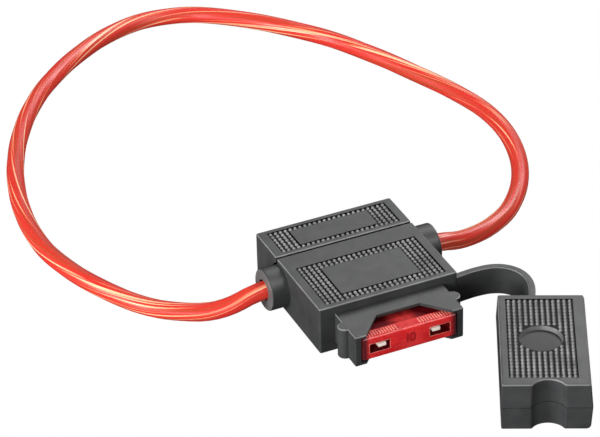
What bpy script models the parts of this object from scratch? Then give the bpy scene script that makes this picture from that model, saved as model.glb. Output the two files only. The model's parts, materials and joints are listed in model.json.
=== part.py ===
"""Inline blade-fuse holder on a looped lead, with its captive cap swung open beside it.

Frame: origin at the centre of the housing's flat base, +X towards the right cable outlet,
+Y towards the rear cover, +Z up. Sizes are in millimetres and MM turns them into metres.
"""
import bpy
import bmesh
from math import cos, pi, radians, sin
from mathutils import Matrix, Vector

MM = 0.001
GAP = 0.3                 # between pieces that touch
EDGE = 0.3                # rounding of moulded edges

BODY_WIDTH = 28.2
BODY_HEIGHT = 9.85
AXIS_Z = BODY_HEIGHT / 2  # mid height: fuse, contacts and cable outlets
FRONT_Y = -9.5            # front face of the housing, where the collar starts
HOUSING_DEPTH = 19.0
SEAM = 0.45
COVER_DEPTH = 9.2
COVER_WALL = 1.2
ROOF = 1.125              # left above and below the rear chamber
OUTLET_INSET = 0.825      # between an outlet and the faces above and below it

COLLAR_WIDTH = 22.0
COLLAR_HEIGHT = 6.5
COLLAR_LENGTH = 8.7
CUTOUT_FRONT = 8.8        # half widths of the finger cut-outs in the collar
CUTOUT_BACK = 4.45
CUTOUT_DEPTH = 4.9
RIB_RADIUS = 1.4
RIB_Y = FRONT_Y - 4.3

OUTLET_RADIUS = BODY_HEIGHT / 2 - OUTLET_INSET
OUTLET_END = BODY_WIDTH / 2 + 3.6   # half distance between the outlets' ends
OUTLET_Y = FRONT_Y + 17.2
CHAMBER_HALF_WIDTH = BODY_WIDTH / 2 - 1.7
CHAMBER_HALF_HEIGHT = BODY_HEIGHT / 2 - ROOF

HEAD_WIDTH = 19.1
HEAD_THICK = 4.7
HEAD_DEPTH = 5.6
SKIRT_WIDTH = 17.6
SKIRT_THICK = 3.7
SKIRT_DEPTH = 5.8
FUSE_PROUD = 0.1          # head in front of the collar's rim
FUSE_FRONT_Y = FRONT_Y - COLLAR_LENGTH - FUSE_PROUD
PANEL_FROM = 2.3          # sunk panel on each broad side, behind the teeth
PANEL_HALF = 8.3
PANEL_DEPTH = 0.3
BLADE_X = 4.85
BLADE_WIDTH = 5.2
BLADE_THICK = 0.7
BLADE_END_Y = FRONT_Y + 10.4
CHAMBER_FRONT_Y = BLADE_END_Y - GAP
TAB_X = 5.5               # test tabs, seen through the windows
TAB_HALF = 0.8
TAB_FRONT = 0.25          # distances behind the head's face from here on
SHOULDER = 3.4
LINK_FRONT = 4.2
LINK_BACK = 5.4
LINK_HALF = 0.9
LINK_ROOT = 7.0
LINK_ROOT_X = 2.6
BLADE_POINT = 0.9
BLADE_POINT_SIDE = 0.6
WINDOW_X = 6.1
WINDOW_HALF = 2.05
WINDOW_RISE = 0.95
TOOTH_PITCH = 0.65
TOOTH_FIRST = 3.0

CONTACT_INNER = BLADE_WIDTH / 2 + GAP
CONTACT_THICK = 0.4
CONTACT_SLOT = 0.8
CONTACT_WAY_HALF = CONTACT_INNER + CONTACT_THICK + GAP
CONTACT_WAY_RISE = 1.35
BARREL_RADIUS = 1.7
CONDUCTOR_RADIUS = 1.0
CONDUCTOR_BEND = 3.2
CABLE_RADIUS = 1.8
CABLE_END_X = CHAMBER_HALF_WIDTH - 0.4
CABLE_REST = 0.05         # under the lead where it lies on the ground

CAP_LENGTH = 28.6
CAP_DEPTH = 16.5
CAP_HEIGHT = 9.8
CAP_DRAFT = 0.25          # how far each end and the mouth lean in from mid height
CAP_BACK_DRAFT = 0.4
CAP_BACK_CHAMFER = 0.35   # along the closed end's top edge
CAP_FOOT = 0.9            # rounding along the closed end's lower edge
CAP_CORNER = (0.85, 2.0)  # cut off the far corner of the closed end
CAP_TURN = -26.0          # degrees from +X to the cap's closed end
CAP_STRAP_X = 6.43        # where the strap enters, from the cap's mouth
DISH_RADIUS = 4.1
DISH_AT = (7.75, 0.5)
CAP_GRIP_AT = (7.75, 0.36)
DISH_DEPTH = 1.05
CAVITY_DEPTH = 14.0
RIB_ROOM_DEPTH = 5.4
COLLAR_ROOM = 0.25
NOTCH_X = 8.6
NOTCH_RADIUS = 3.25
NOTCH_DEPTH = 2.0

STRAP_THICK = 1.3
STRAP_BOTTOM = 2.4
STRAP_TOP = 8.4

PITCH = 1.02              # grip bumps
BUMP_SIZE = 0.8
BUMP_RISE = 0.1           # above the face, out of a shallow recess
RECESS = 0.15
GRIP_MARGIN = 0.06
GRIP_END = 1.8            # plain strip at least left at each end of a grip
GRIP_HOUSING_PLAIN = 5.6  # plain depth in front of and behind the bumps, on each piece
GRIP_COVER_PLAIN = 2.0
GRIP_CAP_PLAIN = 4.1
HOUSING_GRIP_Y = 7.7      # middle of the bumps behind the housing's and the cover's front faces
COVER_GRIP_Y = 4.5

# Places from the housing's front right corner: the vertical axis the cap swings about, and the
# centre line of the strap from the housing to the cap's far end.
PIVOT_OFFSET = (1.65, -7.8)
STRAP_ROUTE = [(0.4, 1.0), (2.3, 1.2), (4.5, 1.3), (7.3, 1.0), (9.5, 0.0), (11.0, -1.6),
               (11.75, -3.4), (11.9, -5.3), (11.5, -7.5), (10.5, -9.8), (9.02, -12.11)]

# Centre line of the lead, from the left outlet's end round to the right one's: X, Y, and the
# share of the way up from the ground to the outlets' height.
LEAD_ROUTE = [(-17.7, 7.7, 1.0), (-20.5, 7.8, 0.83), (-23.7, 8.3, 0.41), (-27.2, 9.4, 0.08),
              (-31.3, 11.4, 0), (-37.2, 16.0, 0), (-42.2, 24.0, 0), (-46.0, 33.5, 0),
              (-48.0, 43.0, 0), (-47.9, 52.5, 0), (-46.4, 62.0, 0), (-43.5, 72.0, 0),
              (-39.3, 81.8, 0), (-34.1, 90.8, 0), (-28.3, 98.5, 0), (-21.9, 104.9, 0),
              (-14.7, 110.5, 0), (-7.6, 114.6, 0), (-0.6, 117.0, 0), (6.4, 117.2, 0),
              (13.6, 114.9, 0), (21.2, 109.3, 0), (28.7, 101.3, 0), (35.4, 92.2, 0),
              (40.8, 81.8, 0), (45.2, 71.3, 0), (49.0, 61.0, 0), (51.3, 51.5, 0),
              (51.2, 41.5, 0), (48.7, 31.5, 0), (44.2, 22.7, 0), (38.2, 15.8, 0),
              (32.6, 12.2, 0.03), (28.0, 10.3, 0.16), (23.6, 8.7, 0.49), (20.4, 7.85, 0.86),
              (17.7, 7.7, 1.0)]


def new_collection(name):
    collection = bpy.data.collections.new(name)
    bpy.context.scene.collection.children.link(collection)
    return collection


for old in list(bpy.data.objects):
    bpy.data.objects.remove(old, do_unlink=True)
PARTS = new_collection("inline_fuse_holder")
CUTTERS = new_collection("cutters")


def make_material(name, color, roughness, metallic=0.0, alpha=1.0):
    material = bpy.data.materials.new(name)
    material.use_nodes = True
    shader = material.node_tree.nodes["Principled BSDF"]
    shader.inputs["Base Color"].default_value = (*color, 1.0)
    shader.inputs["Roughness"].default_value = roughness
    shader.inputs["Metallic"].default_value = metallic
    shader.inputs["Alpha"].default_value = alpha
    return material


def add_object(name, mesh, material=None):
    """A part when it has a material, else a hidden cutter."""
    obj = bpy.data.objects.new(name, mesh)
    if material is None:
        CUTTERS.objects.link(obj)
        obj.hide_render = True
        obj.display_type = 'WIRE'
    else:
        PARTS.objects.link(obj)
        obj.data.materials.append(material)
    return obj


def box(name, x, y, z, material=None):
    """A box between the two limits given for each axis."""
    bm = bmesh.new()
    bmesh.ops.create_cube(bm, size=1.0)
    size = Vector((x[1] - x[0], y[1] - y[0], z[1] - z[0])) * MM
    middle = Vector((x[0] + x[1], y[0] + y[1], z[0] + z[1])) * MM / 2
    bmesh.ops.scale(bm, vec=size, verts=bm.verts)
    bmesh.ops.translate(bm, vec=middle, verts=bm.verts)
    mesh = bpy.data.meshes.new(name)
    bm.to_mesh(mesh)
    bm.free()
    return add_object(name, mesh, material)


def rod(name, radius, start, end, end_radius=None, segments=32, material=None):
    """A closed cylinder or cone between two points."""
    start, end = Vector(start) * MM, Vector(end) * MM
    along = end - start
    turn = along.to_track_quat('Z', 'Y').to_matrix().to_4x4()
    bm = bmesh.new()
    bmesh.ops.create_cone(bm, cap_ends=True, segments=segments, radius1=radius * MM,
                          radius2=(radius if end_radius is None else end_radius) * MM,
                          depth=along.length,
                          matrix=Matrix.Translation((start + end) / 2) @ turn)
    mesh = bpy.data.meshes.new(name)
    bm.to_mesh(mesh)
    bm.free()
    return add_object(name, mesh, material)


def plate(name, outlines, low, high, material=None):
    """Flat outlines extruded from low to high along Z; a second outline is a hole."""
    curve = bpy.data.curves.new(name, 'CURVE')
    curve.dimensions = '2D'
    curve.fill_mode = 'BOTH'
    curve.extrude = (high - low) / 2 * MM
    for outline in outlines:
        spline = curve.splines.new('POLY')
        spline.points.add(len(outline) - 1)
        for point, (x, y) in zip(spline.points, outline):
            point.co = (x * MM, y * MM, 0.0, 1.0)
        spline.use_cyclic_u = True
    flat = bpy.data.objects.new(name + "_outline", curve)
    CUTTERS.objects.link(flat)
    bpy.context.view_layer.update()
    solid = flat.evaluated_get(bpy.context.evaluated_depsgraph_get())
    mesh = bpy.data.meshes.new_from_object(solid)
    bpy.data.objects.remove(flat, do_unlink=True)
    bm = bmesh.new()
    bm.from_mesh(mesh)
    bmesh.ops.remove_doubles(bm, verts=bm.verts, dist=1e-6)
    bmesh.ops.translate(bm, vec=(0, 0, (low + high) / 2 * MM), verts=bm.verts)
    bmesh.ops.recalc_face_normals(bm, faces=bm.faces)
    bm.to_mesh(mesh)
    bm.free()
    mesh.name = name
    return add_object(name, mesh, material)


def tube(name, points, radius, material):
    """A round wire through the points, with closed ends."""
    curve = bpy.data.curves.new(name, 'CURVE')
    curve.dimensions = '3D'
    curve.bevel_depth = radius * MM
    curve.bevel_resolution = 2
    curve.use_fill_caps = True
    spline = curve.splines.new('POLY')
    spline.points.add(len(points) - 1)
    for point, place in zip(spline.points, points):
        point.co = (*(Vector(place) * MM), 1.0)
    wire = bpy.data.objects.new(name, curve)
    PARTS.objects.link(wire)
    curve.materials.append(material)
    return wire


def round_edges(obj, width=EDGE, segments=2):
    bevel = obj.modifiers.new("edges", 'BEVEL')
    bevel.width = width * MM
    bevel.segments = segments
    bevel.limit_method = 'ANGLE'
    bevel.angle_limit = radians(50)


def combine(obj, other, operation):
    step = obj.modifiers.new(other.name, 'BOOLEAN')
    step.operation = operation
    step.solver = 'EXACT'
    step.object = other


def cut(obj, *others):
    for other in others:
        combine(obj, other, 'DIFFERENCE')


def join(obj, *others):
    for other in others:
        combine(obj, other, 'UNION')


def smooth_route(points, spacing):
    """Points spaced evenly along a smooth curve through the route points."""
    points = [Vector(point) for point in points]
    ends = [2 * points[0] - points[1]] + points + [2 * points[-1] - points[-2]]
    fine = []
    for a, b, c, d in zip(ends, ends[1:], ends[2:], ends[3:]):
        for step in range(24):
            t = step / 24
            fine.append(0.5 * (2 * b + (c - a) * t + (2 * a - 5 * b + 4 * c - d) * t * t
                               + (3 * b - a - 3 * c + d) * t ** 3))
    fine.append(points[-1])
    length = sum((b - a).length for a, b in zip(fine, fine[1:]))
    count = max(2, round(length / spacing))
    result, run, target = [fine[0]], 0.0, length / count
    for a, b in zip(fine, fine[1:]):
        run += (b - a).length
        while run >= target and len(result) < count:
            result.append(b.lerp(a, (run - target) / max((b - a).length, 1e-9)))
            target += length / count
    return result + [fine[-1]]


def rectangle(x0, x1, y0, y1):
    return [(x0, y0), (x1, y0), (x1, y1), (x0, y1)]


def grip(obj, field, middle, top, frame=None, dish=(0.0, 0.0, 0.0)):
    """Sink a shallow recess into obj's top and raise as many pointed bumps as its field takes.

    With a frame (columns, rows) the bumps only go round a plain window. The round dish
    (X, Y, radius) has none either.
    """
    columns, rows = (int(length / PITCH) for length in field)
    window = (columns - 2 * frame[0], rows - 2 * frame[1]) if frame else (0, 0)
    reach = [count / 2 * PITCH + GRIP_MARGIN for count in (columns, rows)]
    outlines = [rectangle(middle[0] - reach[0], middle[0] + reach[0],
                          middle[1] - reach[1], middle[1] + reach[1])]
    plain = [count / 2 * PITCH - GRIP_MARGIN for count in window]
    if frame:
        outlines.append(rectangle(middle[0] - plain[0], middle[0] + plain[0],
                                  middle[1] - plain[1], middle[1] + plain[1]))
    recess = plate(obj.name + "_recess", outlines, top - RECESS, top + GAP)
    cut(obj, recess)
    bm = bmesh.new()
    height = BUMP_RISE + 2 * RECESS
    for i in range(columns):
        for j in range(rows):
            x = (i - (columns - 1) / 2) * PITCH
            y = (j - (rows - 1) / 2) * PITCH
            if abs(x) < plain[0] and abs(y) < plain[1]:
                continue
            if (x - dish[0]) ** 2 + (y - dish[1]) ** 2 < dish[2] ** 2:
                continue
            place = Vector((middle[0] + x, middle[1] + y, top + BUMP_RISE - height / 2)) * MM
            bmesh.ops.create_cone(bm, cap_ends=True, segments=4,
                                  radius1=BUMP_SIZE / 2 ** 0.5 * MM, radius2=0.0,
                                  depth=height * MM,
                                  matrix=Matrix.Translation(place) @ Matrix.Rotation(pi / 4, 4, 'Z'))
    mesh = bpy.data.meshes.new(obj.name + "_bumps")
    bm.to_mesh(mesh)
    bm.free()
    bumps = add_object(obj.name + "_bumps", mesh)
    join(obj, bumps)
    return recess, bumps


black = make_material("black_plastic", (0.022, 0.022, 0.024), 0.45)
red_clear = make_material("clear_red_plastic", (0.75, 0.01, 0.01), 0.2, alpha=0.8)
tin = make_material("tinned_metal", (0.62, 0.62, 0.6), 0.3, metallic=1.0)
brass = make_material("brass", (0.72, 0.55, 0.25), 0.3, metallic=1.0)
copper = make_material("copper", (0.75, 0.38, 0.22), 0.35, metallic=1.0)
red_sleeve = make_material("red_insulation", (0.62, 0.02, 0.02), 0.3)

# Housing: a block with a collar in front, an outlet on each side and one row of chambers.
seam_y = FRONT_Y + HOUSING_DEPTH
half = BODY_WIDTH / 2
housing = box("housing", (-half, half), (FRONT_Y, seam_y), (0, BODY_HEIGHT), black)
round_edges(housing)
collar_low, collar_high = AXIS_Z - COLLAR_HEIGHT / 2, AXIS_Z + COLLAR_HEIGHT / 2
collar_y = FRONT_Y - COLLAR_LENGTH
collar = box("collar", (-COLLAR_WIDTH / 2, COLLAR_WIDTH / 2), (collar_y, FRONT_Y + 2),
             (collar_low, collar_high))
round_edges(collar)
join(housing, collar)
for side in (-1, 1):
    edge = side * COLLAR_WIDTH / 2
    join(housing, rod(f"rib_{side}", RIB_RADIUS, (edge, RIB_Y, collar_low + 0.02),
                      (edge, RIB_Y, collar_high - 0.02), segments=20))
    outlet = rod(f"outlet_{side}", OUTLET_RADIUS, (side * CHAMBER_HALF_WIDTH * 0.9, OUTLET_Y, AXIS_Z),
                 (side * OUTLET_END, OUTLET_Y, AXIS_Z))
    round_edges(outlet)
    join(housing, outlet)

slot_half = HEAD_WIDTH / 2 + GAP
slot_rise = HEAD_THICK / 2 + GAP
head_end = FUSE_FRONT_Y + HEAD_DEPTH + SKIRT_DEPTH + GAP
cut(housing,
    box("fuse_slot", (-slot_half, slot_half), (collar_y - 1, head_end),
        (AXIS_Z - slot_rise, AXIS_Z + slot_rise)),
    box("rear_chamber", (-CHAMBER_HALF_WIDTH, CHAMBER_HALF_WIDTH), (CHAMBER_FRONT_Y, seam_y + 4),
        (AXIS_Z - CHAMBER_HALF_HEIGHT, AXIS_Z + CHAMBER_HALF_HEIGHT)),
    rod("cable_way", CABLE_RADIUS + GAP, (-OUTLET_END - 1, OUTLET_Y, AXIS_Z),
        (OUTLET_END + 1, OUTLET_Y, AXIS_Z), segments=24),
    plate("finger_cutout", [[(-CUTOUT_FRONT, collar_y - 1), (CUTOUT_FRONT, collar_y - 1),
                             (CUTOUT_FRONT, collar_y), (CUTOUT_BACK, collar_y + CUTOUT_DEPTH),
                             (-CUTOUT_BACK, collar_y + CUTOUT_DEPTH), (-CUTOUT_FRONT, collar_y)]],
          -1, BODY_HEIGHT + 1))
for side in (-1, 1):
    middle = side * BLADE_X
    cut(housing, box(f"contact_way_{side}", (middle - CONTACT_WAY_HALF, middle + CONTACT_WAY_HALF),
                     (head_end - 1, CHAMBER_FRONT_Y + 1),
                     (AXIS_Z - CONTACT_WAY_RISE, AXIS_Z + CONTACT_WAY_RISE)))

# The grip frame around the plain window on top of the housing.
grip_wide = BODY_WIDTH - 2 * GRIP_END
grip(housing, (grip_wide, HOUSING_DEPTH - GRIP_HOUSING_PLAIN), (0.0, FRONT_Y + HOUSING_GRIP_Y),
     BODY_HEIGHT, frame=(4, 2))

# Rear cover: a shallow box over the rear chamber, notched round the two outlets.
cover_y = seam_y + SEAM
cover_end = cover_y + COVER_DEPTH
cover = box("rear_cover", (-half, half), (cover_y, cover_end), (0, BODY_HEIGHT), black)
round_edges(cover)
cut(cover,
    box("cover_hollow", (-half + COVER_WALL, half - COVER_WALL), (cover_y - 1, cover_end - COVER_WALL),
        (AXIS_Z - CHAMBER_HALF_HEIGHT, AXIS_Z + CHAMBER_HALF_HEIGHT)))
for side in (-1, 1):
    cut(cover, rod(f"outlet_notch_{side}", OUTLET_RADIUS + GAP, (side * 11.0, OUTLET_Y, AXIS_Z),
                   (side * (half + 1), OUTLET_Y, AXIS_Z)))
tongue_out = CHAMBER_HALF_HEIGHT - GAP
for sign in (-1, 1):
    limits = sorted((AXIS_Z + sign * tongue_out, AXIS_Z + sign * (tongue_out - 0.9)))
    root = sorted((AXIS_Z + sign * (CHAMBER_HALF_HEIGHT + 0.3), AXIS_Z + sign * (tongue_out - 0.9)))
    join(cover, box(f"tongue_{sign}", (-9.0, 9.0), (cover_y - 3.0, cover_y + 1.0), limits),
         box(f"tongue_root_{sign}", (-9.0, 9.0), (cover_y + 0.4, cover_y + 1.6), root))
grip(cover, (grip_wide, COVER_DEPTH - GRIP_COVER_PLAIN), (0.0, cover_y + COVER_GRIP_Y), BODY_HEIGHT,
     frame=(4, 1))

# Fuse: a clear head with two test windows, and a skirt over the roots of its blades.
fuse = box("fuse_body", (-HEAD_WIDTH / 2, HEAD_WIDTH / 2),
           (FUSE_FRONT_Y, FUSE_FRONT_Y + HEAD_DEPTH),
           (AXIS_Z - HEAD_THICK / 2, AXIS_Z + HEAD_THICK / 2), red_clear)
round_edges(fuse, 0.3)
skirt_end = FUSE_FRONT_Y + HEAD_DEPTH + SKIRT_DEPTH
join(fuse, box("skirt", (-SKIRT_WIDTH / 2, SKIRT_WIDTH / 2), (FUSE_FRONT_Y + 3, skirt_end),
               (AXIS_Z - SKIRT_THICK / 2, AXIS_Z + SKIRT_THICK / 2)))
blade_outer = BLADE_X + BLADE_WIDTH / 2
cavity_half = blade_outer + GAP
cavity_rise = BLADE_THICK / 2 + GAP
cut(fuse, box("element_way", (-cavity_half, cavity_half), (FUSE_FRONT_Y + 0.7, skirt_end + 1),
              (AXIS_Z - cavity_rise, AXIS_Z + cavity_rise)))
for side in (-1, 1):
    cut(fuse, box(f"test_window_{side}", (side * WINDOW_X - WINDOW_HALF, side * WINDOW_X + WINDOW_HALF),
                  (FUSE_FRONT_Y - 1, FUSE_FRONT_Y + 1.9), (AXIS_Z - WINDOW_RISE, AXIS_Z + WINDOW_RISE)))
for level in (-1, 1):
    face = AXIS_Z + level * HEAD_THICK / 2
    cut(fuse, box(f"panel_{level}", (-PANEL_HALF, PANEL_HALF),
                  (FUSE_FRONT_Y + PANEL_FROM, FUSE_FRONT_Y + HEAD_DEPTH - EDGE),
                  sorted((face - level * PANEL_DEPTH, face + level * 1))))
bm = bmesh.new()
for side in (-1, 1):
    for k in range(9):
        for level in (-1, 1):
            place = Vector((side * (TOOTH_FIRST + TOOTH_PITCH * k), FUSE_FRONT_Y + 1.15,
                            AXIS_Z + level * HEAD_THICK / 2)) * MM
            bmesh.ops.create_cube(bm, size=MM, matrix=Matrix.Translation(place)
                                  @ Matrix.Diagonal((0.3, 1.5, 0.5, 1.0)))
grooves = bpy.data.meshes.new("head_grooves")
bm.to_mesh(grooves)
bm.free()
cut(fuse, add_object("head_grooves", grooves))

# Fuse element: one stamped piece, two blades joined by a narrow link, with a test tab on each.
def behind(distance):
    return FUSE_FRONT_Y + distance


blade_inner = blade_outer - BLADE_WIDTH
right_edge = [(0.0, behind(LINK_FRONT)), (LINK_HALF, behind(LINK_FRONT)),
              (LINK_ROOT_X, behind(LINK_BACK)), (LINK_ROOT_X, behind(SHOULDER)),
              (TAB_X - TAB_HALF, behind(SHOULDER)), (TAB_X - TAB_HALF, behind(TAB_FRONT)),
              (TAB_X + TAB_HALF, behind(TAB_FRONT)), (TAB_X + TAB_HALF, behind(SHOULDER)),
              (blade_outer, behind(SHOULDER)), (blade_outer, BLADE_END_Y - BLADE_POINT),
              (blade_outer - BLADE_POINT_SIDE, BLADE_END_Y),
              (blade_inner + BLADE_POINT_SIDE, BLADE_END_Y),
              (blade_inner, BLADE_END_Y - BLADE_POINT), (blade_inner, behind(LINK_ROOT)),
              (LINK_HALF, behind(LINK_BACK)), (0.0, behind(LINK_BACK))]
left_edge = [(-x, y) for x, y in reversed(right_edge) if x > 0]
plate("fuse_element", [right_edge + left_edge],
      AXIS_Z - BLADE_THICK / 2, AXIS_Z + BLADE_THICK / 2, tin)

# Contacts: a folded receptacle round each blade, then a neck and a crimp barrel.
outer = CONTACT_INNER + CONTACT_THICK
rise = cavity_rise + CONTACT_THICK
contact_start, contact_end = head_end + 0.3, BLADE_END_Y + 0.5
barrel_start, barrel_end = contact_end + 0.7, contact_end + 3.0
profile = [(-CONTACT_SLOT, rise), (-outer, rise), (-outer, -rise), (outer, -rise), (outer, rise),
           (CONTACT_SLOT, rise), (CONTACT_SLOT, cavity_rise), (CONTACT_INNER, cavity_rise),
           (CONTACT_INNER, -cavity_rise), (-CONTACT_INNER, -cavity_rise),
           (-CONTACT_INNER, cavity_rise), (-CONTACT_SLOT, cavity_rise)]
for side, name in ((-1, "left"), (1, "right")):
    middle = side * BLADE_X
    contact = plate("contact_" + name, [profile], 0, contact_end - contact_start, brass)
    contact.matrix_world = (Matrix.Translation(Vector((middle, contact_end, AXIS_Z)) * MM)
                            @ Matrix.Rotation(pi / 2, 4, 'X'))
    bore = CONDUCTOR_RADIUS + GAP
    join(contact,
         box("neck_" + name, (middle - 1.0, middle + 1.0), (contact_end - 0.5, barrel_start + 0.3),
             (AXIS_Z - 1.5, AXIS_Z - cavity_rise - 0.05)),
         rod("barrel_" + name, BARREL_RADIUS, (middle, barrel_start, AXIS_Z),
             (middle, barrel_end, AXIS_Z), segments=20))
    cut(contact,
        rod("barrel_bore_" + name, bore, (middle, barrel_start - 0.5, AXIS_Z),
            (middle, barrel_end + 1, AXIS_Z), segments=20),
        box("barrel_mouth_" + name, (middle - 0.35, middle + 0.35), (barrel_start - 0.5, barrel_end + 1),
            (AXIS_Z, AXIS_Z + 3)))

    # The bared copper comes in through the outlet and bends forward into the barrel.
    bend_x, bend_y = middle + side * CONDUCTOR_BEND, OUTLET_Y - CONDUCTOR_BEND
    points = [(middle, barrel_start + 0.2, AXIS_Z), (middle, bend_y, AXIS_Z)]
    for k in range(1, 9):
        angle = k / 8 * pi / 2
        points.append((bend_x - side * CONDUCTOR_BEND * cos(angle),
                       bend_y + CONDUCTOR_BEND * sin(angle), AXIS_Z))
    points.append((side * (CABLE_END_X - GAP), OUTLET_Y, AXIS_Z))
    tube("conductor_" + name, points, CONDUCTOR_RADIUS, copper)

# Lead: one insulated wire from outlet to outlet, lying on the ground behind the housing.
rest = CABLE_RADIUS + CABLE_REST
spread = OUTLET_END / LEAD_ROUTE[-1][0]
along = OUTLET_Y - LEAD_ROUTE[-1][1]
loop = smooth_route([(x * spread, y + along, rest + lift * (AXIS_Z - rest))
                     for x, y, lift in LEAD_ROUTE], 8.0)
tube("lead", [Vector((-CABLE_END_X, OUTLET_Y, AXIS_Z))] + loop
     + [Vector((CABLE_END_X, OUTLET_Y, AXIS_Z))], CABLE_RADIUS, red_sleeve)

# Cap: local +X runs from its mouth to its closed end, local +Y to the end the strap holds.
corner = Vector((BODY_WIDTH / 2, FRONT_Y, 0.0))
strap_line = smooth_route([corner + Vector((*point, 0)) for point in STRAP_ROUTE], 1.6)
pivot = bpy.data.objects.new("cap_pivot", None)
pivot.location = (corner + Vector((*PIVOT_OFFSET, 0.0))) * MM
PARTS.objects.link(pivot)
cap_place = (Matrix.Translation(strap_line[-1] * MM) @ Matrix.Rotation(radians(CAP_TURN), 4, 'Z')
             @ Matrix.Translation(Vector((-CAP_STRAP_X, -CAP_LENGTH / 2 - GAP, 0.0)) * MM))


def on_cap(obj):
    obj.parent = pivot
    obj.matrix_parent_inverse = Matrix.Translation(-pivot.location)
    obj.matrix_basis = cap_place
    return obj


def on_cap_turned(obj, turn):
    obj = on_cap(obj)
    obj.matrix_basis = cap_place @ turn
    return obj


cap_half = CAP_LENGTH / 2
back = CAP_DEPTH
end_outline = [(-cap_half + CAP_DRAFT, 0), (cap_half - CAP_DRAFT, 0), (cap_half, CAP_HEIGHT / 2),
               (cap_half - CAP_DRAFT, CAP_HEIGHT), (-cap_half + CAP_DRAFT, CAP_HEIGHT),
               (-cap_half, CAP_HEIGHT / 2)]
foot = back - CAP_DRAFT - CAP_FOOT
side_outline = [(CAP_DRAFT, 0), (foot, 0)]
for k in range(1, 4):
    angle = k / 4 * pi / 2
    side_outline.append((foot + CAP_FOOT * sin(angle), CAP_FOOT * (1 - cos(angle))))
side_outline += [(back - CAP_DRAFT, CAP_FOOT), (back, CAP_HEIGHT / 2),
                 (back - CAP_BACK_DRAFT, CAP_HEIGHT - CAP_BACK_CHAMFER),
                 (back - CAP_BACK_DRAFT - CAP_BACK_CHAMFER, CAP_HEIGHT), (CAP_DRAFT, CAP_HEIGHT),
                 (0, CAP_HEIGHT / 2)]
plan_outline = [(-1, -20), (back + 1, -20), (back + CAP_CORNER[0] / 2, cap_half - CAP_CORNER[1] * 1.5),
                (back - CAP_CORNER[0] * 1.5, cap_half + CAP_CORNER[1] / 2), (-1, cap_half + 1)]
# Local Y, Z outline extruded along X, then the side and plan outlines take off the rest.
stand_y = Matrix.Rotation(pi / 2, 4, 'Z') @ Matrix.Rotation(pi / 2, 4, 'X')
stand_x = Matrix.Rotation(pi / 2, 4, 'X')
cap = on_cap_turned(plate("cap", [end_outline], -1, back + 1, black), stand_y)
for outline, name, turn in ((side_outline, "cap_side", stand_x), (plan_outline, "cap_plan", None)):
    low, high = (-20, 20) if turn else (-1, CAP_HEIGHT + 1)
    shape = plate(name, [outline], low, high)
    combine(cap, on_cap_turned(shape, turn) if turn else on_cap(shape), 'INTERSECT')
collar_room = COLLAR_WIDTH / 2 + COLLAR_ROOM
collar_rise = COLLAR_HEIGHT / 2 + COLLAR_ROOM
rib_room = COLLAR_WIDTH / 2 + RIB_RADIUS + GAP
middle_z = CAP_HEIGHT / 2
notch_y = -cap_half - NOTCH_RADIUS + NOTCH_DEPTH
cut(cap,
    on_cap(box("cap_cavity", (-1, CAVITY_DEPTH), (-collar_room, collar_room),
               (middle_z - collar_rise, middle_z + collar_rise))),
    on_cap(box("cap_rib_room", (-1, RIB_ROOM_DEPTH), (-rib_room, rib_room),
               (middle_z - collar_rise, middle_z + collar_rise))),
    on_cap(rod("cap_dish", DISH_RADIUS - 0.3, (*DISH_AT, CAP_HEIGHT - DISH_DEPTH),
               (*DISH_AT, CAP_HEIGHT + 1), end_radius=DISH_RADIUS + 0.25)),
    on_cap(rod("finger_notch", NOTCH_RADIUS, (NOTCH_X, notch_y, -1),
               (NOTCH_X, notch_y, CAP_HEIGHT + 1))))
dish_from_grip = (DISH_AT[0] - CAP_GRIP_AT[0], DISH_AT[1] - CAP_GRIP_AT[1], DISH_RADIUS + BUMP_SIZE / 2)
cap_field = (CAP_DEPTH - GRIP_CAP_PLAIN, CAP_LENGTH - 2 * GRIP_END)
for shape in grip(cap, cap_field, CAP_GRIP_AT, CAP_HEIGHT, dish=dish_from_grip):
    on_cap(shape)

# Strap: an upright band from the housing's front corner round to the cap's far end.
left, right = [], []
for k, point in enumerate(strap_line):
    ahead = strap_line[min(k + 1, len(strap_line) - 1)] - strap_line[max(k - 1, 0)]
    across = Vector((-ahead.y, ahead.x)).normalized() * STRAP_THICK / 2
    left.append((point.x + across.x, point.y + across.y))
    right.append((point.x - across.x, point.y - across.y))
strap = plate("cap_strap", [left + right[::-1]], STRAP_BOTTOM, STRAP_TOP, black)
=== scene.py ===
"""Looks of the inline fuse holder: moulded housing, cover and cap, blade fuse, strap and lead.

Lengths are in metres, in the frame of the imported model: origin at the centre of the housing's
flat base, +X towards the right outlet, +Y towards the rear cover, +Z up.
"""

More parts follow.
